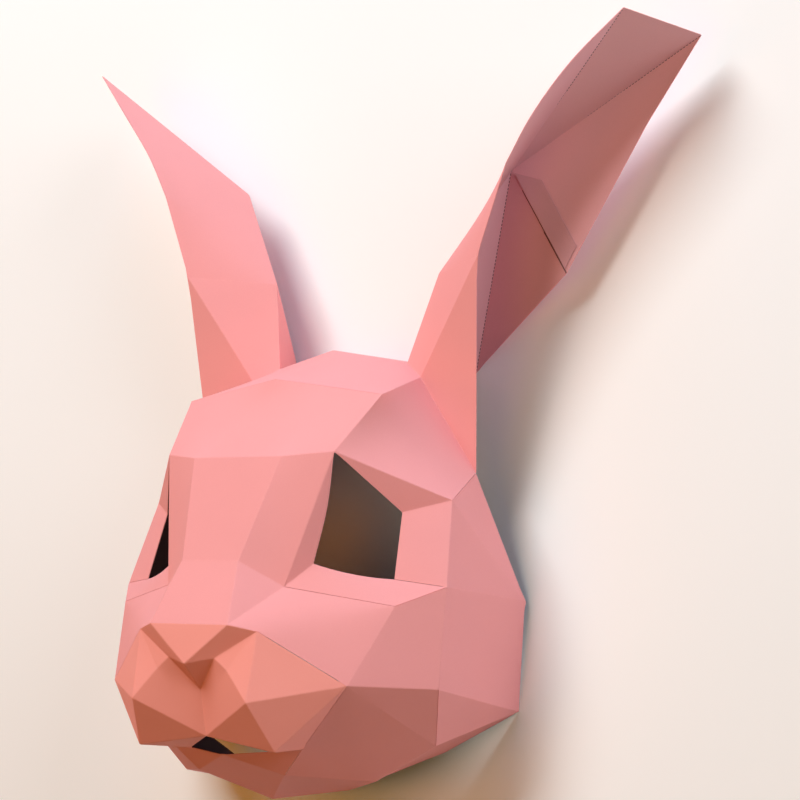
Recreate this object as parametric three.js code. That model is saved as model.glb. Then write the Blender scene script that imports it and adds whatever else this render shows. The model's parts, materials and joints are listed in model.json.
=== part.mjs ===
import * as THREE from 'three';

// A rabbit mask folded from a single layer of card, open at the back. It is drawn as it is worn:
// X across the face towards the wearer's left, Y from the nose back, Z up from the chin.
// Last of all it is laid on its back edge, the way such a mask lies on a table.

// Head, in millimetres
const HEAD_WIDTH = 226; // across the widest facets, at the rear edge
const HEAD_DEPTH = 146; // nose tip to the rear edge
const HEAD_HEIGHT = 243; // chin to crown

// Muzzle: two pads, the nose and the lips
const MUZZLE_WIDTH = 158;
const MUZZLE_DEPTH = 33; // nose tip to the pads' outer corners
const MUZZLE_HEIGHT = 69; // lower lip to the top of the nose
const MUZZLE_RISE = 26; // chin to lower lip

// Eye holes
const EYE_INSET = 49; // midline to the inner corner
const EYE_SETBACK = 45.5; // nose tip to the inner corner
const EYE_RISE = 117; // chin to the lowest corner
const EYE_WIDTH = 36;
const EYE_SLANT = 33.5; // how far the outer corner lies behind the inner one
const EYE_HEIGHT = 67.5;

// Ears, from the front corner of their root
const EAR_REACH = 143.5; // sideways to the outermost point
const EAR_SWEEP = 57; // backwards to the rearmost point
const EAR_LENGTH = 189; // upwards to the tip

// Glue tab inside each ear, along the seam from the spine to the heel
const TAB_WIDTH = 12;
const TAB_BEVEL_SPINE = 17;
const TAB_BEVEL_HEEL = 9.5;

// Card
const CARD = 1; // wall
const GAP = 0.3; // between neighbouring panels
const NIP = 1; // how far panels draw back from a corner too sharp to meet at
const NIPPED_CARD = 0.5; // wall left there

// Corners of the folded surface. Each row is [across, back, up].
// Head: shares of half HEAD_WIDTH, HEAD_DEPTH and HEAD_HEIGHT.
const HEAD_CORNERS = {
  crown_top: [0, 0.85, 1],
  crown_rear: [0, 1.185, 0.97],
  seam_mid: [0, 0.505, 0.925],
  seam_corner: [0.59, 0.56, 0.885],
  root_back: [0.395, 0.91, 0.965],
  root_front: [0.515, 0.865, 0.93],
  root_side: [0.82, 0.89, 0.715],
  root_rear: [0.555, 1.185, 0.95],
  brow_inner: [0.265, 0.29, 0.75],
  brow_middle: [0.68, 0.66, 0.79],
  brow_corner: [0.905, 0.65, 0.655],
  bridge_low: [0.17, 0.14, 0.525],
  bridge_side: [0.354, 0.226, 0.47],
  cheek_corner: [0.975, 0.54, 0.47],
  cheek_low: [0.825, 0.395, 0.43],
  cheek_rear: [0.98, 0.485, 0.255],
  side_top: [1, 1, 0.435],
  side_low: [1, 0.96, 0.195],
  jaw_side: [0.86, 0.595, 0.13],
  jaw_corner: [0.58, 0.53, 0.05],
  chin_corner: [0.26, 0.32, 0.065],
  chin_base: [0, 0.495, 0],
  rim_mid: [0.23, 0.725, 0.015],
  rim_side: [0.71, 0.81, 0.105],
};
// Muzzle: shares of half MUZZLE_WIDTH, MUZZLE_DEPTH and MUZZLE_HEIGHT, above MUZZLE_RISE.
const MUZZLE_CORNERS = {
  lip_low: [0, 0.935, 0],
  lip_top: [0, 0.54, 0.155],
  mouth_corner: [0.56, 1.235, 0.065],
  mouth_end: [0.345, 1.12, 0.04],
  nose_tip: [0, 0, 0.705],
  philtrum: [0, 0.41, 0.505],
  nose_top: [0.33, 0.095, 1],
  pad_top: [0.51, 0.34, 0.955],
  pad_inner: [0.195, 0.175, 0.75],
  pad_ridge: [0.3, 0.185, 0.66],
  pad_front: [0.49, 0.1, 0.43],
  pad_bottom: [0.585, 0.535, 0.06],
  pad_outer: [1, 0.99, 0.54],
};
// Eye: shares of EYE_WIDTH, EYE_SLANT and EYE_HEIGHT, from the inner and the lowest corner.
const EYE_CORNERS = {
  brow_outer: [0.22, 0.21, 1],
  eye_inner_mid: [0.135, 0.16, 0.565],
  eye_inner_low: [0, 0, 0.13],
  eye_outer_low: [1, 0.65, 0],
  eye_outer_top: [0.905, 1, 0.53],
};
// Ear: shares of EAR_REACH, EAR_SWEEP and EAR_LENGTH, from the corner root_front.
const EAR_CORNERS = {
  knee_front: [0.3, -0.14, 0.33],
  knee_back: [-0.01, 0.315, 0.31],
  ear_front: [0.43, -0.125, 0.59],
  ear_edge_low: [0.535, -0.085, 0.72],
  ear_edge_high: [0.69, -0.02, 0.86],
  ear_spine: [0.245, 0.64, 0.61],
  ear_tip: [0.875, 0.14, 1],
  ear_point: [1, 1, 0.95],
  ear_rear_edge: [0.805, 0.843, 0.71],
  ear_heel: [0.497, 0.635, 0.293],
};

const PINK = 0xf2a5a3;
const SIDE_PINK = 0xe79a98;
const NOSE_PINK = 0xf29482;
const EAR_PINK = 0xec9f9b;

// Each panel's facets, by their corners, counterclockwise from outside. A corner with a quote
// mark is the same corner on the wearer's right. A panel with a side is built on both sides.
const MIDDLE_PANELS = {
  crown: {
    colour: PINK,
    facets: [
      'seam_mid seam_corner crown_top',
      'seam_corner root_front root_back crown_top',
      'crown_top root_back root_rear',
      'crown_top root_rear crown_rear',
    ],
  },
  forehead: {
    colour: PINK,
    facets: [
      'brow_inner brow_outer seam_corner',
      'brow_inner seam_corner seam_mid',
      "brow_inner' brow_inner seam_mid",
    ],
  },
  nose_bridge: {
    colour: PINK,
    facets: [
      "brow_inner' bridge_low' bridge_low brow_inner",
      'brow_inner bridge_low bridge_side brow_outer',
      'brow_outer bridge_side eye_inner_low eye_inner_mid',
    ],
  },
  snout_top: {
    colour: PINK,
    facets: ["bridge_low' nose_top' nose_top bridge_low", 'bridge_low nose_top bridge_side'],
  },
  nose: {
    colour: NOSE_PINK,
    facets: [
      "nose_top' nose_tip nose_top",
      'nose_top nose_tip pad_inner pad_top',
      'nose_tip philtrum pad_inner',
    ],
  },
  chin: {
    colour: SIDE_PINK,
    facets: [
      'chin_corner mouth_corner mouth_end lip_low',
      'lip_low chin_base chin_corner',
      'chin_corner chin_base rim_mid jaw_corner',
      "rim_mid chin_base rim_mid'",
    ],
  },
};
const SIDE_PANELS = {
  brow: {
    colour: PINK,
    facets: [
      'brow_middle seam_corner brow_outer brow_corner root_side root_front seam_corner',
      'brow_outer eye_outer_top brow_corner',
    ],
  },
  lid: {
    colour: PINK,
    facets: ['cheek_low cheek_corner eye_outer_low eye_inner_low bridge_side'],
  },
  temple: {
    colour: SIDE_PINK,
    facets: [
      'eye_outer_top eye_outer_low cheek_corner brow_corner',
      'brow_corner side_top root_side',
      'brow_corner cheek_corner side_top',
    ],
  },
  snout_side: {
    colour: PINK,
    facets: ['cheek_low bridge_side nose_top pad_top pad_outer'],
  },
  cheek: {
    colour: SIDE_PINK,
    facets: [
      'cheek_low pad_outer cheek_rear cheek_corner',
      'cheek_corner cheek_rear side_low side_top',
    ],
  },
  jowl: {
    colour: SIDE_PINK,
    facets: ['pad_outer jaw_side cheek_rear'],
  },
  jaw_rear: {
    colour: SIDE_PINK,
    facets: [
      'cheek_rear jaw_side side_low',
      'jaw_side rim_side side_low',
      'jaw_side jaw_corner rim_side',
      'jaw_corner rim_mid rim_side',
    ],
  },
  pad: {
    colour: NOSE_PINK,
    facets: [
      'pad_ridge pad_inner philtrum lip_top pad_front',
      'pad_inner pad_ridge pad_top',
      'pad_ridge pad_front pad_top',
      'pad_top pad_front pad_outer',
      'pad_front pad_bottom pad_outer',
      'pad_front lip_top pad_bottom',
      'pad_outer pad_bottom mouth_corner',
      'pad_bottom lip_top mouth_end mouth_corner',
    ],
  },
  jaw: {
    colour: SIDE_PINK,
    facets: ['jaw_corner jaw_side pad_outer mouth_corner chin_corner'],
  },
  ear_front: {
    colour: EAR_PINK,
    facets: [
      'root_front root_side knee_front',
      'root_front knee_front knee_back root_back',
      'knee_front ear_front knee_back',
      'knee_back ear_front ear_spine',
    ],
  },
  ear_back: {
    colour: EAR_PINK,
    facets: [
      'root_back knee_back root_rear',
      'root_rear knee_back ear_spine',
      'root_rear ear_spine ear_heel',
    ],
  },
  ear_tip: {
    colour: EAR_PINK,
    facets: [
      'ear_spine ear_front ear_edge_low ear_edge_high ear_tip',
      'ear_point ear_spine ear_tip',
      'ear_spine ear_point ear_rear_edge ear_heel',
    ],
  },
};

// Corners where the folds are too sharp, or the panels too many, to meet in a mitre
const SHARP_CORNERS = [
  'eye_outer_low',
  'mouth_corner',
  'mouth_end',
  'pad_outer',
  'knee_back',
  'ear_spine',
];

// Corners at their place on the worn mask
const corners = new Map();

function placeCorners(table, size, origin) {
  for (const [name, share] of Object.entries(table)) {
    corners.set(name, new THREE.Vector3(...share).multiply(size).add(origin));
  }
}

placeCorners(
  HEAD_CORNERS,
  new THREE.Vector3(HEAD_WIDTH / 2, HEAD_DEPTH, HEAD_HEIGHT),
  new THREE.Vector3(),
);
placeCorners(
  MUZZLE_CORNERS,
  new THREE.Vector3(MUZZLE_WIDTH / 2, MUZZLE_DEPTH, MUZZLE_HEIGHT),
  new THREE.Vector3(0, 0, MUZZLE_RISE),
);
placeCorners(
  EYE_CORNERS,
  new THREE.Vector3(EYE_WIDTH, EYE_SLANT, EYE_HEIGHT),
  new THREE.Vector3(EYE_INSET, EYE_SETBACK, EYE_RISE),
);
placeCorners(
  EAR_CORNERS,
  new THREE.Vector3(EAR_REACH, EAR_SWEEP, EAR_LENGTH),
  corners.get('root_front'),
);
for (const [name, corner] of [...corners]) {
  const onMidline = corner.x === 0;
  const mirrored = onMidline ? corner : new THREE.Vector3(-corner.x, corner.y, corner.z);
  corners.set(`${name}'`, mirrored);
}

function mirrorName(name) {
  if (corners.get(name).x === 0) return name;
  return name.endsWith("'") ? name.slice(0, -1) : `${name}'`;
}

// A facet turned over to the other side runs the other way round.
function mirrorFacet(facet) {
  return facet.map(mirrorName).reverse();
}

// Cuts a facet into triangles that share its first corner.
function fan(facet) {
  const triangles = [];
  for (let i = 1; i < facet.length - 1; i += 1) triangles.push([facet[0], facet[i], facet[i + 1]]);
  return triangles;
}

function sameFacet(one, other) {
  return one.length === other.length && one.every((name) => other.includes(name));
}

// Every panel of the mask as { name, colour, triangles }
const panels = [];
for (const [name, { colour, facets }] of Object.entries(MIDDLE_PANELS)) {
  const triangles = facets.flatMap((facet) => {
    const corner = facet.split(' ');
    const half = fan(corner);
    return sameFacet(corner, mirrorFacet(corner)) ? half : [...half, ...half.map(mirrorFacet)];
  });
  panels.push({ name, colour, triangles });
}
for (const [name, { colour, facets }] of Object.entries(SIDE_PANELS)) {
  const left = facets.flatMap((facet) => fan(facet.split(' ')));
  panels.push({ name: `${name}_left`, colour, triangles: left });
  panels.push({ name: `${name}_right`, colour, triangles: left.map(mirrorFacet) });
}

function triangleNormal(triangle) {
  const [a, b, c] = triangle.map((name) => corners.get(name));
  return new THREE.Vector3().crossVectors(b.clone().sub(a), c.clone().sub(a)).normalize();
}

function edgesOf(triangle) {
  return triangle.map((from, i) => [from, triangle[(i + 1) % triangle.length]]);
}

// Which triangle of the whole skin runs along each edge
const triangleAt = new Map();
for (const { triangles } of panels) {
  for (const triangle of triangles) {
    for (const edge of edgesOf(triangle)) triangleAt.set(edge.join(' '), triangle);
  }
}

function isSharp(name) {
  return SHARP_CORNERS.includes(name.replace("'", ''));
}

// In a triangle's plane, square to one of its edges and pointing into it
function intoTriangle(triangle, from, to) {
  const run = corners.get(to).clone().sub(corners.get(from));
  return new THREE.Vector3().crossVectors(triangleNormal(triangle), run).normalize();
}

// The vector that comes closest to having each given reach along each given direction
function balance(aims) {
  const SOFTNESS = 1e-3; // keeps the sum solvable where all directions agree
  const sum = new THREE.Matrix3().set(SOFTNESS, 0, 0, 0, SOFTNESS, 0, 0, 0, SOFTNESS);
  const goal = new THREE.Vector3();
  for (const { along, reach, weight } of aims) {
    const { x, y, z } = along;
    const products = [x * x, x * y, x * z, x * y, y * y, y * z, x * z, y * z, z * z];
    products.forEach((product, i) => {
      sum.elements[i] += weight * product;
    });
    goal.addScaledVector(along, weight * reach);
  }
  return goal.applyMatrix3(sum.invert());
}

// A panel's rim edges, and for each corner the faces and the cut walls that meet there. A wall
// shared with the next panel lies in the plane halfway between the two faces.
function surroundings(triangles) {
  const own = new Set(triangles.flatMap(edgesOf).map((edge) => edge.join(' ')));
  const rim = [];
  const around = new Map();
  for (const triangle of triangles) {
    for (const name of triangle) {
      if (!around.has(name)) around.set(name, { faces: [], walls: [] });
      around.get(name).faces.push(triangleNormal(triangle));
    }
  }
  for (const triangle of triangles) {
    for (const [from, to] of edgesOf(triangle)) {
      const back = `${to} ${from}`;
      if (own.has(back)) continue;
      rim.push([from, to]);
      const neighbour = triangleAt.get(back);
      const level = intoTriangle(triangle, from, to);
      const mitred = level.clone();
      if (neighbour) mitred.sub(intoTriangle(neighbour, to, from)).normalize();
      const wall = { level, mitred, shared: Boolean(neighbour) };
      around.get(from).walls.push(wall);
      around.get(to).walls.push(wall);
    }
  }
  return { rim, around };
}

// How far a corner draws back from the panels beside it, and from there how far its inner point
// lies from its outer one. In a mitre the walls are held more firmly than the thickness.
function mitredCorner({ faces, walls }) {
  const FIRM = 1000;
  const solve = (wallReach, faceReach) =>
    balance([
      ...walls.map(({ mitred, shared }) => ({
        along: mitred,
        reach: shared ? wallReach : 0,
        weight: FIRM,
      })),
      ...faces.map((normal) => ({ along: normal, reach: faceReach, weight: 1 })),
    ]);
  return { drawBack: solve(GAP / 2, 0), depth: solve(0, -CARD) };
}

function nippedCorner({ faces, walls }) {
  const free = walls.filter(({ shared }) => !shared);
  const drawBack = balance([
    ...walls.map(({ level, shared }) => ({ along: level, reach: shared ? NIP : 0, weight: 1 })),
    ...faces.map((normal) => ({ along: normal, reach: 0, weight: 1 })),
  ]);
  const depth = balance([
    ...free.map(({ level }) => ({ along: level, reach: 0, weight: 1 })),
    ...faces.map((normal) => ({ along: normal, reach: -NIPPED_CARD, weight: 1 })),
  ]);
  return { drawBack, depth };
}

// A folded panel of card: its outer face, its inner face and the cut walls all round
function panelGeometry(triangles) {
  const { rim, around } = surroundings(triangles);
  const names = [...around.keys()];
  const outer = new Map(names.map((name, i) => [name, i]));
  const inner = new Map(names.map((name, i) => [name, i + names.length]));
  const outerPoints = [];
  const innerPoints = [];
  for (const name of names) {
    const shape = isSharp(name) ? nippedCorner : mitredCorner;
    const { drawBack, depth } = shape(around.get(name));
    const point = corners.get(name).clone().add(drawBack);
    outerPoints.push(point);
    innerPoints.push(point.clone().add(depth));
  }
  const index = [];
  for (const [a, b, c] of triangles) {
    index.push(outer.get(a), outer.get(b), outer.get(c));
    index.push(inner.get(c), inner.get(b), inner.get(a));
  }
  for (const [from, to] of rim) {
    index.push(outer.get(to), outer.get(from), inner.get(from));
    index.push(outer.get(to), inner.get(from), inner.get(to));
  }
  const geometry = new THREE.BufferGeometry().setFromPoints([...outerPoints, ...innerPoints]);
  geometry.setIndex(index);
  geometry.computeVertexNormals();
  return geometry;
}

// The glue tab lies flat on the inside of the ear's blade, along the seam to the heel.
function tabGeometry(mark) {
  const [spine, heel, point] = ['ear_spine', 'ear_heel', 'ear_point'].map((name) =>
    corners.get(`${name}${mark}`),
  );
  const seam = heel.clone().sub(spine);
  const length = seam.length();
  const along = seam.normalize();
  const acrossBlade = point.clone().sub(spine);
  const across = acrossBlade.addScaledVector(along, -acrossBlade.dot(along)).normalize();
  const thickness = new THREE.Vector3().crossVectors(along, across);
  const outline = new THREE.Shape([
    new THREE.Vector2(TAB_BEVEL_SPINE / 4, GAP),
    new THREE.Vector2(length - TAB_BEVEL_HEEL / 4, GAP),
    new THREE.Vector2(length - TAB_BEVEL_HEEL, TAB_WIDTH),
    new THREE.Vector2(TAB_BEVEL_SPINE, TAB_WIDTH),
  ]);
  const geometry = new THREE.ExtrudeGeometry(outline, { depth: CARD, bevelEnabled: false });
  // On the wearer's right the tab's thickness runs outwards, so it starts one card further in.
  const start = mark ? -(2 * CARD + GAP) : CARD + GAP;
  const frame = new THREE.Matrix4().makeBasis(along, across, thickness);
  frame.setPosition(spine.clone().addScaledVector(thickness, start));
  geometry.applyMatrix4(frame);
  return geometry;
}

function card(name, geometry, colour) {
  const material = new THREE.MeshStandardMaterial({
    color: colour,
    roughness: 0.85,
    metalness: 0,
    flatShading: true,
  });
  const mesh = new THREE.Mesh(geometry, material);
  mesh.name = name;
  return mesh;
}

const worn = new THREE.Group();
for (const { name, colour, triangles } of panels) {
  worn.add(card(name, panelGeometry(triangles), colour));
}
worn.add(card('ear_tab_left', tabGeometry(''), EAR_PINK));
worn.add(card('ear_tab_right', tabGeometry("'"), EAR_PINK));

// Laid on its back, it touches the table at the low rear corners of its sides and of its ears.
const touchLow = corners.get('side_low');
const touchHigh = corners.get('root_rear');
worn.rotation.x = -Math.atan2(touchHigh.z - touchLow.z, touchHigh.y - touchLow.y);
worn.updateMatrixWorld(true);
const box = new THREE.Box3().setFromObject(worn, true);
const middle = box.getCenter(new THREE.Vector3());
worn.position.set(-middle.x, -middle.y, -box.min.z);

const mask = new THREE.Group();
mask.add(worn);

export default mask;
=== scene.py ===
import json
import math
from contextlib import contextmanager

import bpy
from mathutils import Matrix, Vector

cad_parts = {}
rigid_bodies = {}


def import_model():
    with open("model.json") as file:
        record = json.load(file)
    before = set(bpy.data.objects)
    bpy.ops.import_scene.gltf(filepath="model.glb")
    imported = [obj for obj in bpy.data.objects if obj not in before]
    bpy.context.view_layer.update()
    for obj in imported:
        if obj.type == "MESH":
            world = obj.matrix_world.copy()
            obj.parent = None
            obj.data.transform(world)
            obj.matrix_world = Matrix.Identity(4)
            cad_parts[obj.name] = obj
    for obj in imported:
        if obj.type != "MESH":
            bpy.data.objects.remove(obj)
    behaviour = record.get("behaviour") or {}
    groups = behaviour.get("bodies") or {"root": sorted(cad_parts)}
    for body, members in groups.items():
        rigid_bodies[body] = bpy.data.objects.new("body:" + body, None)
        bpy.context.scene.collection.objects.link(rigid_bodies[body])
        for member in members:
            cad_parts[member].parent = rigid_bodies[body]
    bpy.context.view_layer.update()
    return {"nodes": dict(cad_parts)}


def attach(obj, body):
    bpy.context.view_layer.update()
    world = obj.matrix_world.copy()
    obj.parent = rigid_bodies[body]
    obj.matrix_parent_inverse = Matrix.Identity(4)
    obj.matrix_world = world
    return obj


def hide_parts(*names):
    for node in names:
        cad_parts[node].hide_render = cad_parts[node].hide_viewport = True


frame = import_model()

bl_info = {
    "name": "Papercraft rabbit mask",
    "version": (1, 0, 0),
    "blender": (4, 5, 0),
    "location": "View3D > Sidebar > Rabbit Mask",
    "description": "Folds the mask's panels from card and sets them on a pale stage",
    "category": "Object",
}

MM = 0.001

# Panels of the mask. A side panel has a left and a right copy.
HEAD_PANELS = (
    "crown", "forehead", "nose_bridge", "snout_top", "chin", "brow", "lid",
    "temple", "snout_side", "cheek", "jowl", "jaw_rear", "jaw",
)
MUZZLE_PANELS = ("nose", "pad")
EAR_PANELS = ("ear_front", "ear_back", "ear_tip")

# A point inside each hollow: the faces that look away from it are the outer ones
HEAD_HOLLOW = Vector((0, -60, 30)) * MM
EAR_HOLLOW = Vector((150, 120, 30)) * MM
WALL_STEP = 5 * MM  # a solid's cut walls have an edge shorter than this, its broad faces none
CORNER_REACH = 5 * MM  # the panels' corners that meet lie closer together than this

# Corners of the mask's left side that the folds and curved edges below are named by
CORNERS = {
    name: Vector(place) * MM
    for name, place in {
        "crown_top": (0, 38.6, 50.3),
        "crown_rear": (0, 40.1, 0.9),
        "seam_mid": (0, 11.8, 96.7),
        "seam_corner": (66.7, 3.7, 87.1),
        "root_front": (58.2, 22.3, 45.2),
        "root_back": (44.6, 31.8, 40.2),
        "root_rear": (62.7, 35.3, 0),
        "knee_front": (101.2, 82.2, 64),
        "knee_back": (56.8, 83.1, 37.8),
        "ear_front": (119.9, 130.8, 71.8),
        "ear_edge_low": (135, 155.4, 73.9),
        "ear_edge_high": (157.2, 182.1, 74.9),
        "ear_tip": (183.8, 209.7, 70.6),
        "ear_spine": (93.4, 142.2, 29.6),
        "ear_point": (201.7, 209, 20.7),
        "ear_heel": (129.5, 83.2, 19.3),
        "pad_top": (40.3, -130, 134.8),
        "pad_ridge": (23.7, -151, 136.3),
        "brow_corner": (102.3, -49, 64.3),
        "side_top": (113, -92.7, 4.6),
        "brow_outer": (56.9, -31.6, 110.5),
        "eye_inner_mid": (53.9, -60.8, 106.9),
        "eye_inner_low": (49, -90.6, 107),
        "eye_outer_low": (85, -95.4, 84.1),
    }.items()
}
SAME_PLACE = 3 * MM  # how near a corner's name a point has to be

# Bends up to these angles are soft curves of the sheet, without a fold
SOFT_BEND = math.radians(21)
SOFT_BENDS = {
    "nose": math.radians(10),
    "pad": math.radians(8),
    "ear_back": math.radians(10),
    "brow": math.radians(40),
}

# Folds that are fainter than that, and bends that are stronger but soft
FAINT_FOLDS = (
    ("crown_top", "root_back"),
    ("crown_top", "root_rear"),
    ("crown_top", "crown_rear"),
    ("brow_corner", "side_top"),
    ("pad_ridge", "pad_top"),
    ("knee_front", "knee_back"),
)
SOFT_EDGES = (("ear_front", "knee_back"), ("ear_front", "ear_spine"))

# Cut edges that curve through these corners
CURVED_EDGES = (
    ("ear_front", "ear_edge_low", "ear_edge_high", "ear_tip"),
    ("brow_outer", "eye_inner_mid", "eye_inner_low"),
)

# Printed guides inside the ears: rows of dots where the card was scored, and a line at the seam
DOTTED = 1.0
SOLID = 2.0
GUIDES = (
    ("ear_spine", "ear_point", DOTTED),
    ("ear_spine", "root_rear", DOTTED),
    ("ear_spine", "ear_tip", DOTTED),
    ("ear_spine", "ear_heel", SOLID),
)
GUIDE_STEP = 2.0 * MM
GUIDE_REACH = 0.7 * MM  # how near a line a point has to be to lie on it
LINE_ENDS = 0.01  # how far past its ends a line still counts, as a share of its length
DOT_SHARE = 0.6  # share of each step that the dot takes

LID_SAG = Vector((0, -1.5, 0)) * MM  # how far the lower edge of the eye hole sags

SHEET_CUTS = 9  # cuts across each facet before the sheet is bent
SHEET_EASE = 0.5
SHEET_PASSES = 300
WAVE_LENGTH = 60 * MM

SAME_VERTEX = 0.01 * MM
SMOOTH_ANGLE = math.radians(30)

# How far below the ear's blade the glue tab's two faces lie, in thicknesses of card
BLADE_OFFSET = 1.3 * MM
TAB_TOP = 1.6
TAB_BOTTOM = 2.6
TAB_SHADE = 0.8


def kind_of(name):
    """The panel's name without its side."""
    return name.replace("_left", "").replace("_right", "")


def panel_nodes(kinds):
    """The CAD nodes of these kinds of panel, in order of name."""
    return sorted(name for name in frame["nodes"] if kind_of(name) in kinds)


PANELS = panel_nodes(HEAD_PANELS + MUZZLE_PANELS + EAR_PANELS)


# Seams that stay open: the two panels' kinds, and where along their border
MOUTH_REACH = 40 * MM  # how far from the middle the seam beside the mouth shows
BROW_END = -45 * MM  # where the seam behind the brow ends


def all_along(middle):
    return True


def beside_mouth(middle):
    return abs(middle.x) < MOUTH_REACH


def behind_brow(middle):
    return middle.y > BROW_END


SEAMS = (
    ({"crown", "forehead"}, all_along),
    ({"brow", "temple"}, behind_brow),
    ({"lid", "snout_side"}, all_along),
    ({"lid", "cheek"}, all_along),
    ({"lid", "temple"}, all_along),
    ({"pad", "snout_side"}, all_along),
    ({"jowl", "jaw_rear"}, all_along),
    ({"jaw", "pad"}, all_along),
    ({"jaw", "chin"}, beside_mouth),
)


def tone(red, green, blue):
    """A screen colour, 0 to 255, as the linear colour that Blender works with."""
    def linear(value):
        share = value / 255
        return share / 12.92 if share <= 0.04045 else ((share + 0.055) / 1.055) ** 2.4

    return (linear(red), linear(green), linear(blue), 1.0)


class MaskCardSettings(bpy.types.PropertyGroup):
    thickness: bpy.props.FloatProperty(
        name="Card thickness", description="Thickness of the visible card",
        default=0.4 * MM, min=0.1 * MM, max=0.9 * MM, unit="LENGTH", precision=5,
    )
    fold_width: bpy.props.FloatProperty(
        name="Fold width", description="Width of the rounded strip along a fold",
        default=0.8 * MM, min=0.1 * MM, max=2 * MM, unit="LENGTH", precision=5,
    )
    seam_gap: bpy.props.FloatProperty(
        name="Seam gap", description="How far two cut edges stand apart where a seam shows",
        default=0.25 * MM, min=0.05 * MM, max=2 * MM, unit="LENGTH", precision=5,
    )
    bow: bpy.props.FloatProperty(
        name="Bow", description="How far the sheet bows between its folds",
        default=0.5 * MM, min=0, max=2 * MM, unit="LENGTH", precision=5,
    )
    pink: bpy.props.FloatVectorProperty(
        name="Head card", description="Colour of the card of the head",
        subtype="COLOR", size=4, min=0, max=1, default=tone(243, 160, 160),
    )
    coral: bpy.props.FloatVectorProperty(
        name="Muzzle card", description="Colour of the card of the nose and pads",
        subtype="COLOR", size=4, min=0, max=1, default=tone(250, 160, 150),
    )
    rose: bpy.props.FloatVectorProperty(
        name="Ear card", description="Colour of the card of the ears",
        subtype="COLOR", size=4, min=0, max=1, default=tone(243, 160, 160),
    )


    # Painted shade: the card inside the head is coloured dark so that the eye holes and the mouth look
    # dark inside the hollow.
    inside: bpy.props.FloatVectorProperty(
        name="Inside", description="Colour of the card inside the head",
        subtype="COLOR", size=4, min=0, max=1, default=tone(84, 56, 56),
    )
    ear_inside: bpy.props.FloatVectorProperty(
        name="Ear inside", description="Colour of the card inside the ears",
        subtype="COLOR", size=4, min=0, max=1, default=tone(231, 173, 179),
    )


class MaskStageSettings(bpy.types.PropertyGroup):
    floor: bpy.props.FloatVectorProperty(
        name="Floor", description="Colour of the floor",
        subtype="COLOR", size=4, min=0, max=1, default=tone(250, 250, 250),
    )
    key_power: bpy.props.FloatProperty(
        name="Key light", description="Power of the large soft light above the forehead",
        default=50, min=0, max=500, unit="POWER",
    )
    side_power: bpy.props.FloatProperty(
        name="Side light", description="Power of the wide light beside the left cheek",
        default=26, min=0, max=500, unit="POWER",
    )
    warm_power: bpy.props.FloatProperty(
        name="Warm light", description="Power of the warm light on the right cheek",
        default=10, min=0, max=500, unit="POWER",
    )
    front_power: bpy.props.FloatProperty(
        name="Front light", description="Power of the mild light in front of the nose",
        default=7.6, min=0, max=500, unit="POWER",
    )
    cool_power: bpy.props.FloatProperty(
        name="Cool light", description="Power of the cool light above the ears",
        default=12, min=0, max=500, unit="POWER",
    )


def select_only(*objects):
    bpy.ops.object.select_all(action="DESELECT")
    for obj in objects:
        obj.select_set(True)
    bpy.context.view_layer.objects.active = objects[0]


@contextmanager
def editing(obj, domain="VERT"):
    """Edit mode on one object, with what was picked in object mode still selected."""
    select_only(obj)
    tools = bpy.context.scene.tool_settings
    tools.mesh_select_mode = [domain == name for name in ("VERT", "EDGE", "FACE")]
    bpy.ops.object.mode_set(mode="EDIT")
    try:
        yield
    finally:
        bpy.ops.object.mode_set(mode="OBJECT")


def pick(obj, domain, wanted):
    """Selects the vertices, edges or faces that pass the test, and nothing else."""
    mesh = obj.data
    parts = {"VERT": mesh.vertices, "EDGE": mesh.edges, "FACE": mesh.polygons}
    for items in parts.values():
        items.foreach_set("select", [False] * len(items))
    chosen = [bool(wanted(item)) for item in parts[domain]]
    parts[domain].foreach_set("select", chosen)
    return any(chosen)


def delete_faces(obj, wanted):
    if pick(obj, "FACE", wanted):
        with editing(obj, "FACE"):
            bpy.ops.mesh.delete(type="FACE")


def weld(obj, distance):
    with editing(obj):
        bpy.ops.mesh.select_all(action="SELECT")
        bpy.ops.mesh.remove_doubles(threshold=distance)


def apply_modifier(obj, kind, **settings):
    modifier = obj.modifiers.new(kind.title(), kind)
    for name, value in settings.items():
        setattr(modifier, name, value)
    select_only(obj)
    bpy.ops.object.modifier_apply(modifier=modifier.name)


def copy_node(name, copy_name):
    """A merged copy of a CAD node, free of the node's body and finish."""
    select_only(frame["nodes"][name])
    bpy.ops.object.duplicate()
    copy = bpy.context.view_layer.objects.active
    bpy.ops.object.parent_clear(type="CLEAR_KEEP_TRANSFORM")
    for key in list(copy.keys()):
        del copy[key]
    copy.name = copy.data.name = copy_name
    copy.data.materials.clear()
    bpy.ops.mesh.customdata_custom_splitnormals_clear()
    weld(copy, SAME_VERTEX)
    return copy


def hollow_of(name):
    """The point that a panel's inner face looks towards."""
    if not name.startswith("ear"):
        return HEAD_HOLLOW
    side = -1 if name.endswith("_right") else 1
    return Vector((side * EAR_HOLLOW.x, EAR_HOLLOW.y, EAR_HOLLOW.z))


def looks_away(obj, hollow):
    """Whether the sheet as a whole faces away from the hollow."""
    return sum(face.area * face.normal.dot(face.center - hollow) for face in obj.data.polygons) > 0


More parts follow.
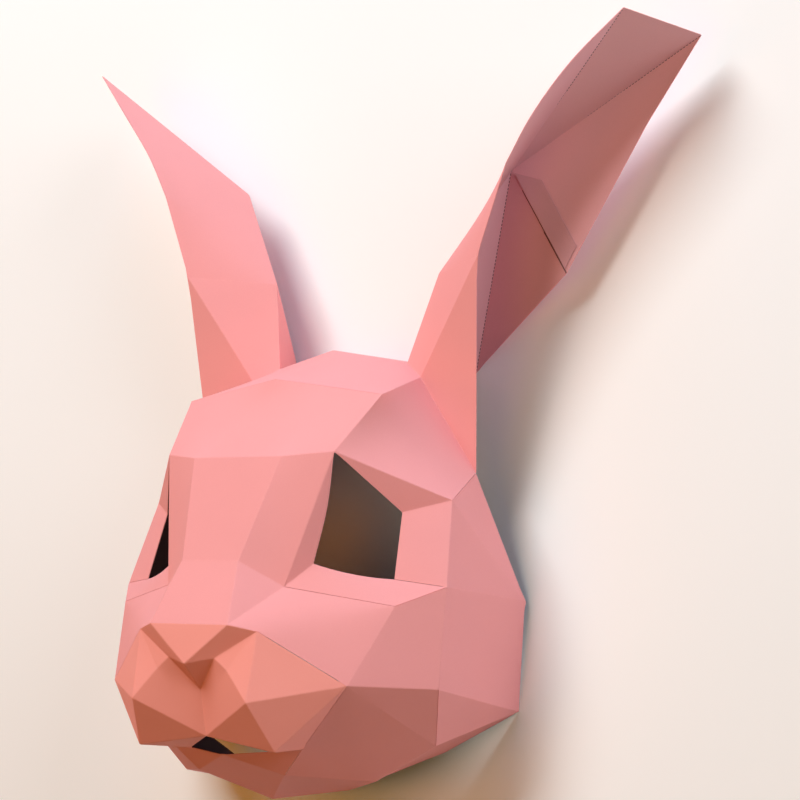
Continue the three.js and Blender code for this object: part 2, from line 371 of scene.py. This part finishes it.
def outer_sheet(name):
    """A panel's outer face as one sheet without thickness, marked with the panel's number."""
    sheet = copy_node(name, name + "_sheet")
    mesh = sheet.data
    points = [vertex.co for vertex in mesh.vertices]

    def is_wall(face):
        return any((points[a] - points[b]).length < WALL_STEP for a, b in face.edge_keys)

    delete_faces(sheet, is_wall)
    with editing(sheet):
        bpy.ops.mesh.select_all(action="SELECT")
        bpy.ops.mesh.separate(type="LOOSE")
    for part in list(bpy.context.selected_objects):
        if looks_away(part, hollow_of(name)):
            sheet = part
        else:
            bpy.data.objects.remove(part)
    number = sheet.data.attributes.new("panel", "INT", "FACE")
    number.data.foreach_set("value", [PANELS.index(name)] * len(sheet.data.polygons))
    return sheet


def near_corner(point, name):
    """Whether a point is this corner, on either side of the mask."""
    return (Vector((abs(point.x), point.y, point.z)) - CORNERS[name]).length < SAME_PLACE


def joins(mesh, edge, pairs):
    """Whether an edge runs between one of these pairs of corners."""
    first, second = (mesh.vertices[i].co for i in edge.vertices)
    return any(
        (near_corner(first, a) and near_corner(second, b))
        or (near_corner(first, b) and near_corner(second, a))
        for a, b in pairs
    )


def faces_along_edges(mesh):
    """Which faces run along each edge, by the edge's two vertex numbers."""
    along = {}
    for face in mesh.polygons:
        for key in face.edge_keys:
            along.setdefault(key, []).append(face)
    return along


def mark_folds(skin):
    """Marks the folds as sharp edges and the open seams as seams."""
    mesh = skin.data
    panel = mesh.attributes["panel"].data
    along = faces_along_edges(mesh)
    for edge in mesh.edges:
        faces = along[edge.key]
        if len(faces) < 2:
            continue
        kinds = [kind_of(PANELS[panel[face.index].value]) for face in faces]
        middle = sum((mesh.vertices[i].co for i in edge.vertices), Vector()) / 2
        bend = faces[0].normal.angle(faces[1].normal)
        edge.use_seam = any(set(kinds) == pair and where(middle) for pair, where in SEAMS)
        same_panel = panel[faces[0].index].value == panel[faces[1].index].value
        soft = same_panel and bend < SOFT_BENDS.get(kinds[0], SOFT_BEND)
        soft = soft and not joins(mesh, edge, FAINT_FOLDS) or joins(mesh, edge, SOFT_EDGES)
        edge.use_edge_sharp = not edge.use_seam and not soft


def bend_sheets(skin, bow):
    """Lets the card curve freely between its folds, and bow a little."""
    with editing(skin):
        bpy.ops.mesh.select_all(action="SELECT")
        bpy.ops.mesh.subdivide(number_cuts=SHEET_CUTS)
    curve_edges(skin)
    mesh = skin.data
    along = faces_along_edges(mesh)
    held = {vertex.index for vertex in mesh.vertices if near_corner(vertex.co, "crown_top")}
    for edge in mesh.edges:
        if edge.use_seam or edge.use_edge_sharp or len(along[edge.key]) < 2:
            held.update(edge.vertices)
    pick(skin, "VERT", lambda vertex: vertex.index not in held)
    with editing(skin):
        bpy.ops.mesh.vertices_smooth(factor=SHEET_EASE, repeat=SHEET_PASSES)
    free = skin.vertex_groups.new(name="free")
    free.add([vertex.index for vertex in mesh.vertices if vertex.index not in held], 1, "REPLACE")
    waves = bpy.data.textures.new("sheet_waves", "CLOUDS")
    waves.noise_scale = WAVE_LENGTH
    apply_modifier(
        skin, "DISPLACE", texture=waves, texture_coords="LOCAL", strength=bow,
        mid_level=0.5, vertex_group="free",
    )
    skin.vertex_groups.clear()


def along_line(point, start, end):
    """How far along a straight line a point lies, from 0 to 1, or None if it is off the line."""
    run = end - start
    share = (point - start).dot(run) / run.length_squared
    off = (point - start - share * run).length
    return share if off < GUIDE_REACH and -LINE_ENDS < share < 1 + LINE_ENDS else None


def guide_at(point):
    """The kind of guide printed at a point of a fold."""
    folded = Vector((abs(point.x), point.y, point.z))
    for start, end, kind in GUIDES:
        if along_line(folded, CORNERS[start], CORNERS[end]) is not None:
            return kind
    return 0.0


def curve_through(before, start, end, after, share):
    """A point of the smooth curve that runs through four points, between the middle two."""
    first, last = (end - before) / 2, (after - start) / 2
    square, cube = share**2, share**3
    return (
        (2 * cube - 3 * square + 1) * start + (cube - 2 * square + share) * first
        + (3 * square - 2 * cube) * end + (cube - square) * last
    )


def curve_edges(skin):
    """Curves the cut edges that the sheet's own spring has rounded."""
    mesh = skin.data
    along = faces_along_edges(mesh)
    border = {i for key, faces in along.items() if len(faces) < 2 for i in key}
    for side in (1, -1):
        def corner(name):
            place = min(
                (mesh.vertices[i].co for i in border),
                key=lambda co: (Vector((side * co.x, co.y, co.z)) - CORNERS[name]).length,
            )
            return place.copy()

        for names in CURVED_EDGES:
            places = [corner(name) for name in names]
            places.insert(0, 2 * places[0] - places[1])
            places.append(2 * places[-1] - places[-2])
            for i in border:
                point = mesh.vertices[i].co
                for stretch in zip(places, places[1:], places[2:], places[3:]):
                    share = along_line(point, stretch[1], stretch[2])
                    if share is not None:
                        mesh.vertices[i].co = curve_through(*stretch, share)
                        break
        inner, outer = corner("eye_inner_low"), corner("eye_outer_low")
        for i in border:
            share = along_line(mesh.vertices[i].co, inner, outer)
            if share is not None:
                mesh.vertices[i].co += LID_SAG * 4 * share * (1 - share)


def open_seams(skin, gap):
    """Cuts a strip of card away along the seams."""
    pick(skin, "EDGE", lambda edge: edge.use_seam)
    with editing(skin, "EDGE"):
        bpy.ops.mesh.bevel(offset=gap / 2, segments=1, affect="EDGES", material=1)
    delete_faces(skin, lambda face: face.material_index == 1)


def round_folds(skin, width):
    """Rounds the folds and marks the rounded faces, which are painted paler: a painted highlight along
    the folds, together with wear of the card.
    """
    pick(skin, "EDGE", lambda edge: edge.use_edge_sharp)
    with editing(skin, "EDGE"):
        bpy.ops.mesh.bevel(offset=width / 2, segments=2, affect="EDGES", material=1)
    mesh = skin.data
    folds = [face.material_index == 1 for face in mesh.polygons]
    guides = [guide_at(face.center) if fold else 0.0 for face, fold in zip(mesh.polygons, folds)]
    for name, values in (("worn", [float(fold) for fold in folds]), ("guide", guides)):
        mesh.attributes.new(name, "FLOAT", "FACE").data.foreach_set("value", values)
    for face in mesh.polygons:
        face.material_index = 0


def cut_panel(skin, number):
    """Takes one panel out of the folded skin as an object of its own."""
    panel = skin.data.attributes["panel"].data
    pick(skin, "FACE", lambda face: panel[face.index].value == number)
    with editing(skin, "FACE"):
        bpy.ops.mesh.separate(type="SELECTED")
    return next(obj for obj in bpy.context.selected_objects if obj != skin)


class MASK_OT_fold_card(bpy.types.Operator):
    """Joins the panels' outer faces into one folded skin of card and cuts it into panels"""

    bl_idname = "mask_build.fold_card"
    bl_label = "Fold the card"

    def execute(self, context):
        settings = context.scene.mask_card
        sheets = [outer_sheet(name) for name in PANELS]
        select_only(*sheets)
        bpy.ops.object.join()
        skin = sheets[0]
        skin.name = "folded_skin"
        for name in ("card", "strip"):
            skin.data.materials.append(bpy.data.materials.new(name))
        weld(skin, CORNER_REACH)
        mark_folds(skin)
        bend_sheets(skin, settings.bow)
        open_seams(skin, settings.seam_gap)
        round_folds(skin, settings.fold_width)
        for number, name in enumerate(PANELS):
            sheet = cut_panel(skin, number)
            sheet.name = sheet.data.name = name + "_card"
        bpy.data.objects.remove(skin)
        return {"FINISHED"}


def new_material(name):
    material = bpy.data.materials.new(name)
    material.use_nodes = True
    material.node_tree.nodes.clear()
    return material


def add_node(tree, kind, inputs=None, **settings):
    """A shader node with its settings, and with its inputs set or linked by name or number."""
    node = tree.nodes.new(kind)
    for name, value in settings.items():
        setattr(node, name, value)
    for key, value in (inputs or {}).items():
        if isinstance(value, bpy.types.NodeSocket):
            tree.links.new(value, node.inputs[key])
        else:
            node.inputs[key].default_value = value
    return node


def shade(colour, factor):
    """The colour made lighter or darker."""
    return tuple(min(channel * factor, 1) for channel in colour[:3]) + (1.0,)


def mix_colours(tree, share, first, second):
    node = add_node(tree, "ShaderNodeMix", data_type="RGBA", inputs={0: share, 6: first, 7: second})
    return node.outputs[2]


def guide_marks(tree, place):
    """Where the guides are printed: dots at even steps from the ear's spine, or a whole line."""
    guide = add_node(tree, "ShaderNodeAttribute", attribute_name="guide").outputs["Fac"]
    across = add_node(tree, "ShaderNodeSeparateXYZ", inputs={0: place})
    either_side = add_node(
        tree, "ShaderNodeMath", operation="ABSOLUTE", inputs={0: across.outputs["X"]}
    )
    folded = add_node(
        tree, "ShaderNodeCombineXYZ",
        inputs={0: either_side.outputs[0], 1: across.outputs["Y"], 2: across.outputs["Z"]},
    )
    reach = add_node(
        tree, "ShaderNodeVectorMath", operation="DISTANCE",
        inputs={0: folded.outputs[0], 1: CORNERS["ear_spine"]},
    )
    step = add_node(
        tree, "ShaderNodeMath", operation="PINGPONG",
        inputs={0: reach.outputs["Value"], 1: GUIDE_STEP / 2},
    )
    dots = add_node(
        tree, "ShaderNodeMath", operation="LESS_THAN",
        inputs={0: step.outputs[0], 1: GUIDE_STEP / 2 * DOT_SHARE},
    )
    dotted = add_node(
        tree, "ShaderNodeMath", operation="MULTIPLY", inputs={0: dots.outputs[0], 1: guide}
    )
    solid = add_node(
        tree, "ShaderNodeMath", operation="GREATER_THAN", inputs={0: guide, 1: (DOTTED + SOLID) / 2}
    )
    marks = add_node(
        tree, "ShaderNodeMath", operation="MAXIMUM", use_clamp=True,
        inputs={0: dotted.outputs[0], 1: solid.outputs[0]},
    )
    return marks.outputs[0]


# Noise in the card, by scale and detail
CLOUDING = (22, 3)
FIBRES = (1400, 4)
SPECKS = (700, 2)
# Tones of the card, as shares of its own colour
CLOUD_DARK = 0.955
CLOUD_PALE = 1.03
FIBRE_PALE = 1.35
# Paleness of the rounded folds: painted highlight together with wear
FOLD_HIGHLIGHT_AND_WEAR_PALE = 1.25
PRINT_DARK = 0.25
SMOOTH_CARD = 0.72
ROUGH_CARD = 0.92


def card_material(name, colour, printed=False):
    """Matt coloured card: faint clouding, a fibre grain, and paler specks on the folds, a painted
    highlight together with wear.
    """
    material = new_material(name)
    tree = material.node_tree
    place = add_node(tree, "ShaderNodeTexCoord").outputs["Object"]

    def noise(kind):
        scale, detail = kind
        node = add_node(
            tree, "ShaderNodeTexNoise", inputs={"Vector": place, "Scale": scale, "Detail": detail}
        )
        return node.outputs["Fac"]

    clouding, fibres, specks = noise(CLOUDING), noise(FIBRES), noise(SPECKS)
    body = mix_colours(tree, clouding, shade(colour, CLOUD_DARK), shade(colour, CLOUD_PALE))
    grain = add_node(
        tree, "ShaderNodeMapRange",
        inputs={"Value": fibres, "From Min": 0.35, "From Max": 0.7, "To Min": 0, "To Max": 0.10},
    )
    body = mix_colours(tree, grain.outputs[0], body, shade(colour, FIBRE_PALE))
    # Paler specks on the rounded folds: painted highlight along the folds, together with wear
    worn = add_node(tree, "ShaderNodeAttribute", attribute_name="worn").outputs["Fac"]
    patchy = add_node(
        tree, "ShaderNodeMapRange",
        inputs={"Value": specks, "From Min": 0.5, "From Max": 0.7, "To Min": 0.02, "To Max": 0.25},
    )
    highlight_and_wear = add_node(
        tree, "ShaderNodeMath", operation="MULTIPLY", inputs={0: worn, 1: patchy.outputs[0]}
    )
    body = mix_colours(tree, highlight_and_wear.outputs[0], body, shade(colour, FOLD_HIGHLIGHT_AND_WEAR_PALE))
    if printed:
        body = mix_colours(tree, guide_marks(tree, place), body, shade(colour, PRINT_DARK))
    roughness = add_node(
        tree, "ShaderNodeMapRange", inputs={"Value": fibres, "To Min": SMOOTH_CARD, "To Max": ROUGH_CARD}
    )
    bump = add_node(
        tree, "ShaderNodeBump",
        inputs={"Height": fibres, "Strength": 0.25, "Distance": 0.05 * MM},
    )
    surface = add_node(
        tree, "ShaderNodeBsdfPrincipled",
        inputs={
            "Base Color": body, "Roughness": roughness.outputs[0], "Normal": bump.outputs[0],
            "Specular IOR Level": 0.3,
        },
    )
    add_node(tree, "ShaderNodeOutputMaterial", inputs={"Surface": surface.outputs[0]})
    return material


def finish_panels(kinds, outside, inside, thickness):
    """Gives the panels their thickness and finish, and puts them on the mask's body."""
    for name in panel_nodes(kinds):
        panel = bpy.data.objects[name + "_card"]
        panel.data.materials.clear()
        for material in (outside, inside):
            panel.data.materials.append(material)
        apply_modifier(
            panel, "SOLIDIFY", thickness=thickness, offset=-1, use_even_offset=True,
            use_rim=True, material_offset=1,
        )
        for vertex in panel.data.vertices:
            vertex.co.z = max(vertex.co.z, 0)  # the lowest corners are trimmed level with the floor
        select_only(panel)
        bpy.ops.object.shade_smooth_by_angle(angle=SMOOTH_ANGLE)
        apply_modifier(panel, "WEIGHTED_NORMAL", keep_sharp=True)
        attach(panel, "root")
        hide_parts(name)


class MASK_OT_head(bpy.types.Operator):
    """Finishes the panels of the head in pink card"""

    bl_idname = "mask_build.head"
    bl_label = "Head"

    def execute(self, context):
        settings = context.scene.mask_card
        pink = card_material("pink_card", settings.pink)
        # The inside of the head gets the dark colour of painted shade.
        inside = card_material("head_inside", settings.inside)
        finish_panels(HEAD_PANELS, pink, inside, settings.thickness)
        return {"FINISHED"}


class MASK_OT_muzzle(bpy.types.Operator):
    """Finishes the nose and the two pads in coral card"""

    bl_idname = "mask_build.muzzle"
    bl_label = "Nose and pads"

    def execute(self, context):
        settings = context.scene.mask_card
        coral = card_material("coral_card", settings.coral)
        # The nose and pads share the head's inside, with its painted shade.
        inside = bpy.data.materials["head_inside"]
        finish_panels(MUZZLE_PANELS, coral, inside, settings.thickness)
        return {"FINISHED"}


class MASK_OT_ears(bpy.types.Operator):
    """Finishes the ears in rose card"""

    bl_idname = "mask_build.ears"
    bl_label = "Ears"

    def execute(self, context):
        settings = context.scene.mask_card
        rose = card_material("rose_card", settings.rose)
        inside = card_material("ear_inside", settings.ear_inside, printed=True)
        finish_panels(EAR_PANELS, rose, inside, settings.thickness)
        return {"FINISHED"}


class MASK_OT_glue_tabs(bpy.types.Operator):
    """Lays the glue tab of each ear flat on the card it is glued to"""

    bl_idname = "mask_build.glue_tabs"
    bl_label = "Glue tabs"

    def execute(self, context):
        settings = context.scene.mask_card
        material = card_material("ear_tab", shade(settings.ear_inside, TAB_SHADE))
        for name in panel_nodes(("ear_tab",)):
            tab = copy_node(name, name + "_card")
            mesh = tab.data
            broad = max(mesh.polygons, key=lambda face: face.area)
            up = broad.normal.copy()
            if up.dot(hollow_of(name) - broad.center) > 0:
                up.negate()
            top = max(vertex.co.dot(up) for vertex in mesh.vertices)
            bottom = min(vertex.co.dot(up) for vertex in mesh.vertices)
            blade = top + BLADE_OFFSET
            for vertex in mesh.vertices:
                is_top = vertex.co.dot(up) > (top + bottom) / 2
                depth = settings.thickness * (TAB_TOP if is_top else TAB_BOTTOM)
                vertex.co += up * (blade - depth - vertex.co.dot(up))
            mesh.materials.append(material)
            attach(tab, "root")
            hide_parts(name)
        return {"FINISHED"}


# The camera looks at the mask from the wearer's left and in front, with the ears pointing up in
# the picture.
CAMERA_PLACE = Vector((962.4, -276.9, 1235.2)) * MM
CAMERA_TARGET = Vector((0, 24.6, -14.8)) * MM
PICTURE_UP = Vector((0, 0.984, 0.176))
FIELD_OF_VIEW = math.radians(16.16)

LIT_POINT = Vector((0, 0, 50)) * MM
LIGHT_DISTANCE = 2.4
LAMP_UP = Vector((0, 0.29, 0.96))
# The lights, which share these names with their power settings
LIGHTS = (
    {"name": "key", "from": (-0.25, 0.58, 0.77), "size": 1.2, "colour": (0.96, 1, 1)},
    {"name": "side", "from": (0.88, 0.35, 0.32), "size": 1.6, "colour": (0.96, 0.96, 1)},
    {"name": "warm", "from": (-0.45, -0.18, 0.88), "size": 1.2, "colour": (1, 0.3, 0)},
    {"name": "front", "from": (0.15, -0.4, 0.9), "size": 1.2, "colour": (1, 0.6, 0.07)},
    {"name": "cool", "from": (0.1, 0.93, 0.35), "size": 1.6, "colour": (0.09, 0.5, 1)},
)
FLOOR_SIZE = 8
FLOOR_CLOUDS = 3.0


def aim(obj, target, up):
    """Turns a camera or light towards a point, with one direction upwards in its picture."""
    back = (obj.location - target).normalized()
    right = up.cross(back).normalized()
    obj.rotation_euler = Matrix((right, back.cross(right), back)).transposed().to_euler()


def add_area_light(name, direction, size, power, colour):
    """A square soft light that faces the mask from this direction."""
    light = bpy.data.lights.new(name, "AREA")
    light.shape = "SQUARE"
    light.size = size
    light.energy = power
    light.color = colour
    lamp = bpy.data.objects.new(name, light)
    bpy.context.scene.collection.objects.link(lamp)
    lamp.location = LIT_POINT + LIGHT_DISTANCE * Vector(direction).normalized()
    aim(lamp, LIT_POINT, LAMP_UP)


class MASK_OT_stage(bpy.types.Operator):
    """Adds the floor, the lights and the camera"""

    bl_idname = "mask_build.stage"
    bl_label = "Stage"

    def execute(self, context):
        settings = context.scene.mask_stage
        bpy.ops.object.select_all(action="DESELECT")
        bpy.ops.mesh.primitive_plane_add(size=FLOOR_SIZE, location=(0, 0, 0))
        floor = context.view_layer.objects.active
        floor.name = "floor"
        material = new_material("floor_board")
        tree = material.node_tree
        place = add_node(tree, "ShaderNodeTexCoord").outputs["Object"]
        noise = add_node(tree, "ShaderNodeTexNoise", inputs={"Vector": place, "Scale": FLOOR_CLOUDS})
        body = mix_colours(
            tree, noise.outputs["Fac"], shade(settings.floor, 0.98), shade(settings.floor, 1.02)
        )
        surface = add_node(
            tree, "ShaderNodeBsdfPrincipled", inputs={"Base Color": body, "Roughness": 0.9}
        )
        add_node(tree, "ShaderNodeOutputMaterial", inputs={"Surface": surface.outputs[0]})
        floor.data.materials.append(material)

        world = bpy.data.worlds.new("studio")
        world.color = (0, 0, 0)
        context.scene.world = world
        for light in LIGHTS:
            power = getattr(settings, light["name"] + "_power")
            add_area_light(light["name"], light["from"], light["size"], power, light["colour"])

        camera_data = bpy.data.cameras.new("camera")
        camera_data.sensor_fit = "HORIZONTAL"
        camera_data.angle = FIELD_OF_VIEW
        camera = bpy.data.objects.new("camera", camera_data)
        context.scene.collection.objects.link(camera)
        camera.location = CAMERA_PLACE
        aim(camera, CAMERA_TARGET, PICTURE_UP)
        context.scene.camera = camera
        context.scene.view_settings.view_transform = "Standard"
        return {"FINISHED"}


class MASK_PT_panel(bpy.types.Panel):
    """Lists the steps that build the mask"""

    bl_idname = "MASK_PT_panel"
    bl_label = "Rabbit mask"
    bl_space_type = "VIEW_3D"
    bl_region_type = "UI"
    bl_category = "Rabbit Mask"

    def draw(self, context):
        for step in STEPS:
            self.layout.operator(step.bl_idname)
        for settings in (context.scene.mask_card, context.scene.mask_stage):
            box = self.layout.box()
            for name in settings.__annotations__:
                box.prop(settings, name)


STEPS = (
    MASK_OT_fold_card, MASK_OT_head, MASK_OT_muzzle, MASK_OT_ears, MASK_OT_glue_tabs,
    MASK_OT_stage,
)
CLASSES = (MaskCardSettings, MaskStageSettings, *STEPS, MASK_PT_panel)


def register():
    for cls in CLASSES:
        bpy.utils.register_class(cls)
    bpy.types.Scene.mask_card = bpy.props.PointerProperty(type=MaskCardSettings)
    bpy.types.Scene.mask_stage = bpy.props.PointerProperty(type=MaskStageSettings)


def unregister():
    del bpy.types.Scene.mask_stage
    del bpy.types.Scene.mask_card
    for cls in reversed(CLASSES):
        bpy.utils.unregister_class(cls)


def main():
    register()
    bpy.ops.mask_build.fold_card()
    bpy.ops.mask_build.head()
    bpy.ops.mask_build.muzzle()
    bpy.ops.mask_build.ears()
    bpy.ops.mask_build.glue_tabs()
    bpy.ops.mask_build.stage()


if __name__ == "__main__":
    main()
